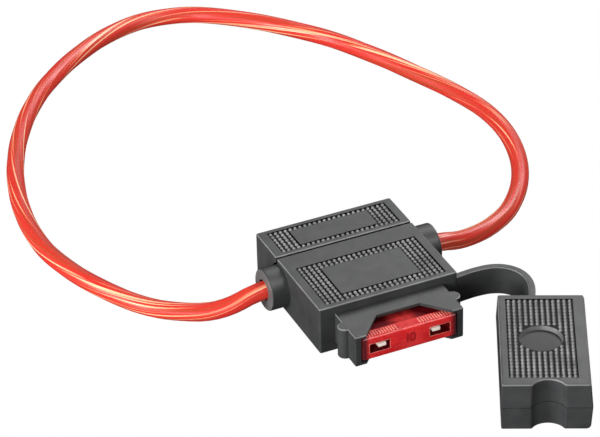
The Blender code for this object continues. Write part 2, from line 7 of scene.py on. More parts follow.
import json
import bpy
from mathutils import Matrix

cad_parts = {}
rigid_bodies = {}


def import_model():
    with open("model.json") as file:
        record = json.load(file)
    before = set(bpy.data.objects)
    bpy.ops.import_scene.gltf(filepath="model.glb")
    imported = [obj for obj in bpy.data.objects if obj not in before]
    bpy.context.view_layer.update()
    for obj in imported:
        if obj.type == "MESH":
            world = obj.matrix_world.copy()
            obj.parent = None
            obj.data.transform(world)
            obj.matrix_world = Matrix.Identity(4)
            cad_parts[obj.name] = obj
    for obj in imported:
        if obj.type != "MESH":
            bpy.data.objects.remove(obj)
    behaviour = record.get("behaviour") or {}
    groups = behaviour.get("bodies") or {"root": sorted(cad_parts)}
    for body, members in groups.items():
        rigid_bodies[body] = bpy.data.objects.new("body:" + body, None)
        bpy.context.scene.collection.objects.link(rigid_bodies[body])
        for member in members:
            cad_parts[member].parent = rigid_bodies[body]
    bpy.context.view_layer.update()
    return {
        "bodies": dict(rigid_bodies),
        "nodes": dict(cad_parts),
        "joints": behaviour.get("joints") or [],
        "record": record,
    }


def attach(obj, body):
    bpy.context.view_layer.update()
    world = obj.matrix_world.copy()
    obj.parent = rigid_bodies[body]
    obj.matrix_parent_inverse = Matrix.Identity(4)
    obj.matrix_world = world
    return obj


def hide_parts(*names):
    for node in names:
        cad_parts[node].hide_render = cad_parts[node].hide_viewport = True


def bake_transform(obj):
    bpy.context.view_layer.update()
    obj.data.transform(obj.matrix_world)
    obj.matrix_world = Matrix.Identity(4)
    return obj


bl_info = {
    "name": "Inline Fuse Holder",
    "version": (1, 0, 0),
    "blender": (4, 5, 0),
    "location": "View3D > Sidebar > Fuse Holder",
    "description": "Builds the visible pieces of an inline blade-fuse holder with a looped lead",
    "category": "Add Mesh",
}

from math import atan2, cos, pi, radians, sin, tau

import bmesh
import bpy
from bpy.props import FloatProperty, FloatVectorProperty, IntProperty, PointerProperty
from bpy.types import Operator, Panel, PropertyGroup
from mathutils import Matrix, Vector

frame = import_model()

# Centre line of the strap, from the housing's front corner to the cap's far end.
STRAP_ROUTE = [(0.0140, -0.0085), (0.0164, -0.0083), (0.0186, -0.0082), (0.0214, -0.0085),
               (0.0236, -0.0095), (0.0251, -0.0111), (0.02585, -0.0129), (0.0260, -0.0148),
               (0.0256, -0.0170), (0.0246, -0.0193), (0.02290, -0.02200)]

# Centre line of the lead: down from the left outlet, round on the ground, up to the right one.
LEAD_REST = 0.00185
LEAD_DOWN = [(-0.0177, 0.0077, 0.004925), (-0.0205, 0.0078, 0.0044), (-0.0237, 0.0083, 0.0031),
             (-0.0272, 0.0094, 0.0021)]
LEAD_ROUND = [(-0.0313, 0.0114), (-0.0372, 0.0160), (-0.0422, 0.0240), (-0.0460, 0.0335),
              (-0.0480, 0.0430), (-0.0479, 0.0525), (-0.0464, 0.0620), (-0.0435, 0.0720),
              (-0.0393, 0.0818), (-0.0341, 0.0908), (-0.0283, 0.0985), (-0.0219, 0.1049),
              (-0.0147, 0.1105), (-0.0076, 0.1146), (-0.0006, 0.1170), (0.0064, 0.1172),
              (0.0136, 0.1149), (0.0212, 0.1093), (0.0287, 0.1013), (0.0354, 0.0922),
              (0.0408, 0.0818), (0.0452, 0.0713), (0.0490, 0.0610), (0.0513, 0.0515),
              (0.0512, 0.0415), (0.0487, 0.0315), (0.0442, 0.0227), (0.0382, 0.0158)]
LEAD_UP = [(0.0326, 0.0122, 0.00195), (0.0280, 0.0103, 0.00235), (0.0236, 0.0087, 0.00335),
           (0.0204, 0.00785, 0.0045), (0.0177, 0.0077, 0.004925)]
LEAD_ROUTE = LEAD_DOWN + [(x, y, LEAD_REST) for x, y in LEAD_ROUND] + LEAD_UP
LEAD_STEP = 0.0016
LEAD_INSIDE = 0.0055  # length of sleeve inside each outlet
RIDGE_DEPTH = 0.015  # of the strands' ridges, as a share of the lead's radius

# Clearances and the reach of the cutting bodies.
PAST = 0.001  # how far a cutting body runs past the face it cuts
FIT = 0.0003  # round the fuse in its slot and the outlets in the cover
COLLAR_ROOM = 0.00025  # round the collar in the cap
NEAR = 0.00001  # faces this close to a height are taken to lie on it
MARGIN = 0.0001  # when faces are chosen by their place

# Housing and cover, apart from the sizes in the sidebar.
COLLAR_ROOT = 0.002  # length of collar inside the body
COLLAR_EDGE = 0.00025
RIB_RADIUS, RIB_EDGE = 0.0014, 0.0002
RIB_FORWARD = 0.0043  # stop ribs, in front of the body's front face
RIB_SHORT = 0.00002  # their ends, below the collar's top and above its bottom
OUTLET_START = 0.0112  # from the middle to the inner end of each outlet
SLOT_DEPTH = 0.0035  # the fuse's slot, behind the body's front face
CHAMBER = (0.0124, 0.0089, 0.0038)  # at the back: half width, depth and half height
CONTACT_WAY = (0.00125, 0.00845)  # its sides, from the middle
CONTACT_WAY_RISE = 0.00135
CONTACT_WAY_ENDS = (0.003, 0.008)  # behind the front face, and in front of the seam
CABLE_WAY_RADIUS = 0.0021
COVER_WALL = 0.0012
COVER_RIM = 0.0006  # its edges carry the painted highlight this far below the top
COVER_NOTCH_END = 0.011  # from the middle to the inner end of the outlets' notches
TONGUE = (0.009, 0.003)  # half width, and reach in front of the cover
TONGUE_RISE = (0.0026, 0.0035)  # its faces, from mid height
TONGUE_ROOT = (0.0004, 0.0016)  # its root, behind the cover's front edge
TONGUE_ROOT_RISE = 0.0041

# Frames of grip bumps.
GRIP_COLUMNS = 24
GRIP_SIDE_COLUMNS = 4  # bump columns at each side of the plain window
GRIP_ROOM_X, GRIP_ROOM_Y = 0.00006, 0.00002  # round the outer bumps in the recess
HOUSING_GRIP = 0.0077  # middle of the bumps, behind the front face
COVER_GRIP = 0.0045  # and behind the cover's front edge

# Cap, apart from the sizes in the sidebar.
CAP_CORNER = (0.00085, 0.0020)  # cut off the closed end's far corner
CAP_EDGE = 0.0003
SLIVER = 0.00008  # points nearer than this are merged before the edges are rounded
CAP_SIDE = 0.02  # half reach of the outlines across the cap
CAVITY_DEPTH = 0.014
RIB_ROOM = (0.0054, 0.0017)  # depth for the stop ribs, and reach past the collar's side
PARTING_DEPTH = 0.00016
PARTING_CORNER = (0.00006, 0.0001)  # and how far it draws the corner in
DISH_FLARE = 0.0004  # how much wider the dish is at its rim
DISH_MARGIN = 0.0002  # left plain round the dish

# Strap.
STRAP_STEP = 0.0006
STRAP_HIGHLIGHT_FROM = 0.0060  # its edges carry the painted highlight above this height
STRAP_HALF_THICK = 0.00065
STRAP_BOTTOM, STRAP_TOP = 0.0024, 0.0084
STRAP_EDGE = 0.00022

# Fuse: distances back from the head's face, half widths and half heights.
HEAD_EDGE = 0.00035
SKIRT = (0.0088, 0.00185)  # half width and half thickness
SKIRT_START = 0.003  # inside the head
ELEMENT_WAY = (0.00775, 0.00065)  # half width and half thickness
ELEMENT_WAY_START = 0.0007
WINDOW = (0.00205, 0.00095)  # half width and half height of a test window
WINDOW_DEPTH = 0.0019
WINDOW_RIM = 0.00012
PANEL = (0.0083, 0.0003)  # half width and depth of the sunk panel on each broad side
PANEL_START = 0.0023
TOOTH = (0.00028, 0.0015, 0.0004)
TOOTH_FIRST, TOOTH_PITCH = 0.0024, 0.00055  # from the middle
TOOTH_BACK, TOOTH_SUNK, TOOTH_EDGE = 0.0012, 0.00008, 0.00004
BLADE = (0.00225, 0.00745)  # its sides, from the middle
BLADE_POINT = (0.0006, 0.0009)  # taken off the blade's end, across and along
SHEET_HALF, SHEET_EDGE = 0.00035, 0.0001
TAB_X, TAB_HALF, TAB_FACE = 0.0055, 0.0008, 0.00025
LINK_HALF = 0.0009
SHOULDER, LINK_FACE, LINK_BACK, LINK_ROOT = 0.0034, 0.0042, 0.0054, 0.007
LINK_ROOT_X = 0.0026
NUMBER_OUT = 0.00002  # middle of the raised figures, in front of the face
NUMBER_SIZE, NUMBER_RISE, NUMBER_BOLD = 0.0026, 0.00008, 0.00006

# Surroundings.
LIT_POINT = (0.005, -0.005, 0.005)  # where all the light panels point
FLOOR_HALF = 1.5

# Places of the colour sockets on a mix node.
COLOR_A, COLOR_B, COLOR_OUT = 6, 7, 2


# Sizes

def metres(name, description, default, low=None):
    """A length in metres, shown in the sidebar."""
    limit = {} if low is None else {"min": low}
    return FloatProperty(name=name, description=description, default=default, unit='LENGTH',
                         precision=5, **limit)


class HousingSizes(PropertyGroup):
    width: metres("Width", "Across the body, without the outlets", 0.0282, 0.005)
    height: metres("Height", "From the base to the plain top face", 0.00985, 0.002)
    front_y: metres("Front face", "Where the collar leaves the body", -0.0095)
    depth: metres("Depth", "From the front face back to the seam", 0.0190, 0.005)
    seam: metres("Seam", "Gap between the housing and its cover", 0.00045, 0.0)
    cover_depth: metres("Cover depth", "From the seam to the back face", 0.0092, 0.002)
    edge: metres("Edge radius", "Rounding of the moulded edges", 0.00034, 0.0)
    collar_width: metres("Collar width", "Across the collar, without its ribs", 0.0220, 0.005)
    collar_height: metres("Collar height", "Across the collar's broad walls", 0.0065, 0.002)
    collar_length: metres("Collar length", "How far the collar stands out", 0.0087, 0.001)
    cutout_front: metres("Cut-out, front", "Half width of the finger cut-out at the collar's rim",
                         0.0088, 0.001)
    cutout_back: metres("Cut-out, back", "Half width of the finger cut-out at its root",
                        0.00445, 0.001)
    cutout_depth: metres("Cut-out depth", "Depth of the finger cut-out", 0.0049, 0.0)
    outlet_radius: metres("Outlet radius", "Radius of each cable outlet", 0.0041, 0.001)
    outlet_end: metres("Outlet end", "From the middle to each outlet's end face", 0.0177, 0.005)
    outlet_y: metres("Outlet position", "Axis of the outlets", 0.0077)


class CapSizes(PropertyGroup):
    length: metres("Length", "Between the strap's end and the notched end", 0.0286, 0.005)
    depth: metres("Depth", "From the mouth to the closed end", 0.0165, 0.005)
    height: metres("Height", "From the base to the plain top face", 0.0098, 0.002)
    draft: metres("Draft", "How far the ends and the mouth lean in", 0.00025, 0.0)
    back_draft: metres("Back draft", "How far the closed end leans in towards the top", 0.0004, 0.0)
    chamfer: metres("Back chamfer", "Chamfer along the closed end's top edge", 0.00035, 0.0)
    foot: metres("Foot radius", "Rounding along the closed end's lower edge", 0.0009, 0.0)
    parting: metres("Parting line", "Width of the fine line round the middle", 0.00016, 0.0)
    mouth: FloatVectorProperty(
        name="Mouth", description="Centre of the open cap's mouth on the ground",
        size=2, default=(0.0109406, -0.0319137), subtype='XYZ', unit='LENGTH', precision=5)
    turn: FloatProperty(
        name="Turn", description="From +X to the closed end of the open cap",
        default=radians(-26.0), unit='ROTATION')
    dish_at: FloatVectorProperty(
        name="Dish", description="Centre of the round dish, from the mouth's centre",
        size=2, default=(0.00775, 0.0005), subtype='XYZ', unit='LENGTH', precision=5)
    dish_radius: metres("Dish radius", "Radius of the round dish at its floor", 0.0037, 0.0005)
    dish_depth: metres("Dish depth", "Depth of the round dish", 0.00105, 0.0)
    grip_y: metres("Grip middle", "Middle of the grip bumps along the cap", 0.00036)
    notch_x: metres("Notch position", "Middle of the finger notch, from the mouth", 0.0086, 0.001)
    notch_radius: metres("Notch radius", "Radius of the finger notch", 0.00325, 0.0005)
    notch_depth: metres("Notch depth", "Depth of the finger notch", 0.0020, 0.0)


class GripSizes(PropertyGroup):
    pitch: metres("Pitch", "Distance between neighbouring bumps", 0.00102, 0.0003)
    radius: metres("Bump radius", "Radius of one bump at its foot", 0.00042, 0.0001)
    rise: metres("Rise", "How far the bumps stand above the plain face", 0.0001, 0.0)
    recess: metres("Recess", "Depth of the shallow recess round the bumps", 0.00028, 0.0)


class FuseSizes(PropertyGroup):
    width: metres("Width", "Across the fuse's head", 0.0191, 0.005)
    thickness: metres("Thickness", "Through the fuse's head", 0.0047, 0.001)
    front_y: metres("Front face", "The head's outer face", -0.0183)
    axis_z: metres("Axis height", "Mid height of the fuse and the outlets", 0.004925, 0.0)
    head_depth: metres("Head depth", "Depth of the head", 0.0056, 0.001)
    skirt_depth: metres("Skirt depth", "Depth of the narrower skirt behind the head", 0.0058, 0.001)
    window_x: metres("Window position", "From the middle to each test window", 0.0061, 0.001)
    teeth: IntProperty(
        name="Teeth", description="Fine teeth on each side of the head",
        default=12, min=1)


class LeadSizes(PropertyGroup):
    radius: metres("Radius", "Outer radius of the insulation", 0.00178, 0.0005)
    strand_twist: metres("Strand lay", "Length in which the strands turn once", 0.130, 0.005)
    ridges: IntProperty(
        name="Ridges", description="Soft ridges where the strands press on the insulation",
        default=9, min=1)
    sides: IntProperty(
        name="Sides", description="Points round the insulation",
        default=72, min=8)


class StageSettings(PropertyGroup):
    camera_at: FloatVectorProperty(
        name="Camera position", description="Where the camera stands",
        size=3, default=(-0.212462, -0.452238, 0.345808), subtype='XYZ', unit='LENGTH')
    camera_lens: FloatProperty(
        name="Focal length", description="Focal length for a 36 mm sensor",
        default=193.97, min=10.0, unit='CAMERA')
    camera_turn: FloatProperty(
        name="Azimuth", description="Direction of view round the object",
        default=radians(-23.771), unit='ROTATION')
    camera_tilt: FloatProperty(
        name="Elevation", description="Height of the camera above the horizon",
        default=radians(33.065), unit='ROTATION')
    camera_roll: FloatProperty(
        name="Roll", description="Turn of the picture about the line of sight",
        default=radians(-1.551), unit='ROTATION')
    sky: FloatProperty(
        name="Surround light", description="Strength of the even white surround",
        default=0.06, min=0.0)
    light_distance: metres("Light distance", "From the object to each light panel", 0.7, 0.1)
    light_size: metres("Light size", "Side of each square light panel", 0.25, 0.01)


# Mesh tools

def remember(name, mesh):
    """A new object in the scene."""
    obj = bpy.data.objects.new(name, mesh)
    bpy.context.scene.collection.objects.link(obj)
    return obj


def from_bmesh(name, bm):
    mesh = bpy.data.meshes.new(name)
    bm.to_mesh(mesh)
    bm.free()
    return remember(name, mesh)


def box(name, x, y, z):
    """A box between the two limits given for each axis."""
    bm = bmesh.new()
    bmesh.ops.create_cube(bm, size=1.0)
    bmesh.ops.scale(bm, vec=(x[1] - x[0], y[1] - y[0], z[1] - z[0]), verts=bm.verts)
    bmesh.ops.translate(bm, vec=((x[0] + x[1]) / 2, (y[0] + y[1]) / 2, (z[0] + z[1]) / 2),
                        verts=bm.verts)
    return from_bmesh(name, bm)


def rod(name, radius, start, end, end_radius=None, segments=64):
    """A closed cylinder or cone between two points."""
    start, end = Vector(start), Vector(end)
    along = end - start
    turn = along.to_track_quat('Z', 'Y').to_matrix().to_4x4()
    bm = bmesh.new()
    bmesh.ops.create_cone(bm, cap_ends=True, segments=segments, radius1=radius,
                          radius2=radius if end_radius is None else end_radius,
                          depth=along.length, matrix=Matrix.Translation((start + end) / 2) @ turn)
    return from_bmesh(name, bm)


def plate(name, outlines, low, high, turn=None):
    """Flat outlines extruded from low to high along Z, then turned; a second outline is a hole."""
    curve = bpy.data.curves.new(name, 'CURVE')
    curve.dimensions = '2D'
    curve.fill_mode = 'BOTH'
    curve.extrude = (high - low) / 2
    for outline in outlines:
        spline = curve.splines.new('POLY')
        spline.points.add(len(outline) - 1)
        for point, (x, y) in zip(spline.points, outline):
            point.co = (x, y, 0.0, 1.0)
        spline.use_cyclic_u = True
    flat = remember(name + "_outline", curve)
    mesh = evaluated(flat)
    discard(flat)
    bm = bmesh.new()
    bm.from_mesh(mesh)
    bmesh.ops.remove_doubles(bm, verts=bm.verts, dist=1e-7)
    bmesh.ops.dissolve_limit(bm, angle_limit=0.002, verts=bm.verts, edges=bm.edges)
    bmesh.ops.translate(bm, vec=(0, 0, (low + high) / 2), verts=bm.verts)
    if turn is not None:
        bmesh.ops.transform(bm, matrix=turn, verts=bm.verts)
    bmesh.ops.recalc_face_normals(bm, faces=bm.faces)
    bm.to_mesh(mesh)
    bm.free()
    return remember(name, mesh)


def about(middle, half):
    return middle - half, middle + half


def rectangle(x0, x1, y0, y1):
    return [(x0, y0), (x1, y0), (x1, y1), (x0, y1)]


def evaluated(obj):
    """A mesh of the object as its modifiers leave it."""
    bpy.context.view_layer.update()
    depsgraph = bpy.context.evaluated_depsgraph_get()
    return bpy.data.meshes.new_from_object(obj.evaluated_get(depsgraph), depsgraph=depsgraph)


def discard(*objects):
    for obj in objects:
        bpy.data.objects.remove(obj, do_unlink=True)


def bake(obj):
    """Turn the object's modifiers into plain mesh."""
    mesh = evaluated(obj)
    obj.modifiers.clear()
    obj.data = mesh
    return obj


def weld(obj, distance=0.000002):
    """Merge points closer together than distance and drop the faces that collapse."""
    bm = bmesh.new()
    bm.from_mesh(obj.data)
    bmesh.ops.remove_doubles(bm, verts=bm.verts, dist=distance)
    bmesh.ops.dissolve_degenerate(bm, dist=distance / 2, edges=bm.edges)
    bm.to_mesh(obj.data)
    bm.free()
    return obj


def round_edges(obj, width, segments=4, angle=40, clamp=True):
    """Round the edges sharper than the angle; clamp keeps the rounds narrower than short edges."""
    bevel = obj.modifiers.new("edges", 'BEVEL')
    bevel.use_clamp_overlap = clamp
    bevel.width = width
    bevel.segments = segments
    bevel.limit_method = 'ANGLE'
    bevel.angle_limit = radians(angle)
    bevel.harden_normals = False
    return weld(bake(obj))


def combine(obj, others, operation):
    """Cut, join or intersect the object with others, which are used up."""
    for other in others:
        step = obj.modifiers.new(other.name, 'BOOLEAN')
        step.operation = operation
        step.solver = 'EXACT'
        step.object = other
    bake(obj)
    discard(*others)
    return weld(obj)


def cut(obj, *others):
    return combine(obj, others, 'DIFFERENCE')


def join(obj, *others):
    return combine(obj, others, 'UNION')


def place(obj, matrix):
    obj.data.transform(matrix)
    return obj


def finish_shape(obj, material, angle=32):
    """Smooth the curved faces, keep the flat ones flat, and set the material."""
    obj.data.shade_smooth()
    obj.data.set_sharp_from_angle(angle=radians(angle))
    weights = obj.modifiers.new("flat_faces", 'WEIGHTED_NORMAL')
    weights.keep_sharp = True
    weights.weight = 100
    bake(obj)
    obj.data.materials.clear()
    obj.data.materials.append(material)
    return obj


def paint(obj, material, chosen):
    """Give another material to the chosen faces."""
    obj.data.materials.append(material)
    for face in obj.data.polygons:
        if chosen(face.center, face.normal):
            face.material_index = len(obj.data.materials) - 1
    return obj


ROUTE_STEPS = 24  # fine points between two route points


def smooth_route(points, spacing):
    """Points spaced evenly along a smooth curve through the route points."""
    points = [Vector(point) for point in points]
    ends = [2 * points[0] - points[1]] + points + [2 * points[-1] - points[-2]]
    fine = []
    for a, b, c, d in zip(ends, ends[1:], ends[2:], ends[3:]):
        for step in range(ROUTE_STEPS):
            t = step / ROUTE_STEPS
            fine.append(0.5 * (2 * b + (c - a) * t + (2 * a - 5 * b + 4 * c - d) * t * t
                               + (3 * b - a - 3 * c + d) * t ** 3))
    fine.append(points[-1])
    length = sum((b - a).length for a, b in zip(fine, fine[1:]))
    count = max(2, round(length / spacing))
    result, run, target = [fine[0]], 0.0, length / count
    for a, b in zip(fine, fine[1:]):
        run += (b - a).length
        while run >= target and len(result) < count:
            result.append(b.lerp(a, (run - target) / max((b - a).length, 1e-9)))
            target += length / count
    return result + [fine[-1]]


# Materials

def new_material(name):
    material = bpy.data.materials.new(name)
    material.use_nodes = True
    return material, material.node_tree.nodes["Principled BSDF"]


def feed(target, **values):
    """Link or set a node's inputs; an underscore in a name stands for a space."""
    for key, value in values.items():
        socket = target.inputs.get(key.replace("_", " "))
        if socket is None:
            setattr(target, key, value)
        elif isinstance(value, bpy.types.NodeSocket):
            target.id_data.links.new(value, socket)
        else:
            socket.default_value = value
    return target


def node(near, kind, **values):
    """A new node in the tree to which near belongs: a tree, a node or a socket."""
    return feed(near.id_data.nodes.new(kind), **values)


def maths(operation, first, second=None):
    made = node(first, "ShaderNodeMath", operation=operation)
    first.id_data.links.new(first, made.inputs[0])
    if isinstance(second, bpy.types.NodeSocket):
        first.id_data.links.new(second, made.inputs[1])
    elif second is not None:
        made.inputs[1].default_value = second
    return made.outputs["Value"]


def noise(at, scale, detail=3.0, roughness=0.55):
    return node(at, "ShaderNodeTexNoise", Vector=at, Scale=scale, Detail=detail,
                Roughness=roughness).outputs["Fac"]


def ramp(factor, *stops):
    """A colour ramp through (position, colour) stops."""
    made = node(factor, "ShaderNodeValToRGB", Fac=factor)
    steps = made.color_ramp.elements
    while len(steps) < len(stops):
        steps.new(0.5)
    for step, (position, color) in zip(steps, stops):
        step.position = position
        step.color = (*color, 1.0)
    return made.outputs["Color"]


def span(value, low, high):
    """A value from 0 to 1, stretched to run from low to high."""
    return node(value, "ShaderNodeMapRange", Value=value, To_Min=low,
                To_Max=high).outputs["Result"]


def fade(factor, color, end):
    """A colour that fades to a fixed one as the factor goes from 0 to 1."""
    mix = node(factor, "ShaderNodeMix", data_type='RGBA', Factor=factor)
    mix.id_data.links.new(color, mix.inputs[COLOR_A])
    mix.inputs[COLOR_B].default_value = (*end, 1.0)
    return mix.outputs[COLOR_OUT]


def fade_sideways(at, start, end, middle, outside):
    """The middle colour, fading to the outside colour between two distances from x = 0."""
    parts = node(at, "ShaderNodeSeparateXYZ", Vector=at)
    way = node(at, "ShaderNodeMapRange", Value=maths('ABSOLUTE', parts.outputs["X"]),
               From_Min=start, From_Max=end)
    return fade(way.outputs["Result"], middle, outside)


def bump(shader, height, strength, distance):
    made = node(shader, "ShaderNodeBump", Height=height, Strength=strength, Distance=distance)
    feed(shader, Normal=made.outputs["Normal"])


def object_space(shader):
    return node(shader, "ShaderNodeTexCoord").outputs["Object"]


def moulded_plastic(name, dark, light, rough=0.40, gloss=0.5):
    """Charcoal plastic with the fine grain of an eroded mould and a few softer patches."""
    material, shader = new_material(name)
    at = object_space(shader)
    feed(shader, Base_Color=ramp(noise(at, 240.0, 5.0), (0.3, dark), (0.7, light)),
         Roughness=span(noise(at, 420.0, 5.0), rough, rough + 0.18), Specular_IOR_Level=gloss)
    bump(shader, noise(at, 3600.0, 4.0, 0.65), 0.3, 0.00005)
    return material


def clear_red(name):
    """Tinted clear plastic, darker towards the head's two ends, with a painted glow."""
    material, shader = new_material(name)
    at = object_space(shader)
    tint = ramp(noise(at, 260.0, 2.0), (0.35, (0.60, 0.014, 0.018)),
                (0.65, (0.76, 0.036, 0.036)))
    color = fade_sideways(at, 0.0080, 0.0090, tint, (0.10, 0.010, 0.014))
    # a painted glow stands in for the light carried through the plastic
    feed(shader, Base_Color=color, Emission_Color=color, Emission_Strength=0.3,
         Roughness=span(noise(at, 900.0), 0.22, 0.34), IOR=1.49, Transmission_Weight=0.2,
         Subsurface_Weight=0.8, Subsurface_Radius=(1.0, 0.12, 0.12), Subsurface_Scale=0.004)
    bump(shader, noise(at, 1500.0, 2.0), 0.1, 0.00005)
    return material


def tinted(name, dark, light, rough, gloss=0.5):
    """Plain tinted plastic for the head's top strips and for the moulded lines."""
    material, shader = new_material(name)
    at = object_space(shader)
    feed(shader, Base_Color=ramp(noise(at, 700.0), (0.3, dark), (0.7, light)),
         Roughness=span(noise(at, 900.0), rough, rough + 0.12), Specular_IOR_Level=gloss)
    bump(shader, noise(at, 1500.0, 2.0), 0.1, 0.00005)
    return material


def deep_red(name):
    """Painted shade for the depths behind the clear walls, paler where the fuse link shines through.
    """
    material, shader = new_material(name)
    at = object_space(shader)
    link = ramp(noise(at, 500.0), (0.3, (0.30, 0.010, 0.012)), (0.7, (0.62, 0.040, 0.036)))
    feed(shader, Base_Color=fade_sideways(at, 0.0014, 0.0032, link, (0.12, 0.003, 0.006)),
         Roughness=span(noise(at, 900.0), 0.45, 0.6), Specular_IOR_Level=0.04)
    return material


def metal(name, dark, light, rough, metallic=1.0):
    """Bare sheet or wire with a drawn grain."""
    material, shader = new_material(name)
    stretch = node(shader, "ShaderNodeMapping", Vector=object_space(shader),
                   Scale=(1.0, 0.08, 1.0))
    lines = noise(stretch.outputs["Vector"], 4000.0, 4.0)
    feed(shader, Base_Color=ramp(lines, (0.3, dark), (0.7, light)),
         Roughness=span(lines, rough - 0.08, rough + 0.1), Metallic=metallic)
    bump(shader, lines, 0.15, 0.00003)
    return material


def tinned(name):
    """Tinned sheet, with a painted warm glow for the light from the lit red plastic round it."""
    material = metal(name, (0.78, 0.74, 0.70), (0.95, 0.93, 0.90), 0.42, 0.35)
    # painted warm glow
    feed(material.node_tree.nodes["Principled BSDF"], Emission_Color=(1.0, 0.78, 0.66, 1.0),
         Emission_Strength=0.35)
    return material


def lead_insulation(name, twist):
    """Glossy red insulation, thin enough for the copper strands to show as slanting streaks,
    whose palest parts are partly painted highlight; painted shade at the outline and a painted glow.
    """
    material, shader = new_material(name)
    uv = node(shader, "ShaderNodeUVMap", uv_map="around_along")
    parts = node(shader, "ShaderNodeSeparateXYZ", Vector=uv.outputs["UV"])
    around, along = parts.outputs["X"], parts.outputs["Y"]

    # Angle round the wire, turned on as the strands do, then back to a seamless circle.
    angle = maths('ADD', maths('MULTIPLY', around, tau), maths('MULTIPLY', along, tau / twist))
    circle = node(shader, "ShaderNodeCombineXYZ", X=maths('COSINE', angle),
                  Y=maths('SINE', angle), Z=maths('MULTIPLY', along, 7.0)).outputs["Vector"]
    stretches = maths('SUBTRACT', noise(circle, 1.3, 1.0), 0.5)
    strands = maths('ADD', noise(circle, 4.2, 1.0, 0.5), maths('MULTIPLY', stretches, 0.4))
    # the palest streaks are partly the copper and partly painted highlight
    streaks = ramp(strands, (0.34, (0.44, 0.056, 0.020)), (0.42, (0.59, 0.038, 0.022)),
                   (0.58, (0.61, 0.028, 0.022)), (0.63, (0.76, 0.24, 0.12)),
                   (0.70, (0.92, 0.54, 0.33)))
    # painted shade towards the outline, where the surface turns from view
    edge = node(shader, "ShaderNodeLayerWeight", Blend=0.12)
    color = fade(edge.outputs["Facing"], streaks, (0.28, 0.020, 0.014))
    # a painted glow lifts the insulation where little light reaches
    feed(shader, Base_Color=color, Emission_Color=color, Emission_Strength=0.30,
         Roughness=span(strands, 0.50, 0.34), Specular_IOR_Level=0.3, Subsurface_Weight=0.15,
         Subsurface_Radius=(1.0, 0.25, 0.15), Subsurface_Scale=0.0008, Coat_Weight=0.08,
         Coat_Roughness=0.2)
    bump(shader, strands, 0.25, 0.00012)
    return material


def floor_material(name):
    """Dark, so that it throws little light back, but plain white to the camera."""
    material, shader = new_material(name)
    feed(shader, Base_Color=(0.06, 0.06, 0.06, 1.0), Roughness=0.9)
    plain = node(shader, "ShaderNodeEmission", Color=(1.0, 1.0, 1.0, 1.0), Strength=1.0)
    path = node(shader, "ShaderNodeLightPath")
    mix = node(shader, "ShaderNodeMixShader", Fac=path.outputs["Is Camera Ray"])
    for place_in, made in ((1, shader), (2, plain)):
        mix.id_data.links.new(made.outputs[0], mix.inputs[place_in])
    feed(mix.id_data.nodes["Material Output"], Surface=mix.outputs["Shader"])
    return material


def shared(maker, name, *values):
    """The material of that name, made the first time it is asked for."""
    return bpy.data.materials.get(name) or maker(name, *values)


def grey(name, dark, light, rough, gloss=0.5):
    return shared(moulded_plastic, name, 3 * (dark,), 3 * (light,), rough, gloss)


def black():
    """The plastic of the plain faces."""
    return shared(moulded_plastic, "moulded_plastic", (0.028, 0.029, 0.030),
                  (0.047, 0.048, 0.049))


def edge_highlight():
    """Paler plastic that paints a highlight on the rounded edges."""
    return grey("worn_plastic", 0.14, 0.25, 0.32)


def face_light():
    """Paler plastic that paints light on the outlets' end faces and on the dish's wall."""
    return grey("face_plastic", 0.085, 0.150, 0.36)


def shaded():
    """Painted shade deep in the grooves, in the sunk grip frames and in the seam."""
    return grey("groove_plastic", 0.004, 0.008, 0.60, 0.2)


def paint_edges(obj, lowest, clear=lambda at: True):
    """Painted highlight on the rounded upper edges above the lowest height."""
    return paint(obj, edge_highlight(), lambda at, normal: 0.25 < normal.z < 0.95 and at.z > lowest
                 and clear(at))


# Grip bumps, made with geometry nodes

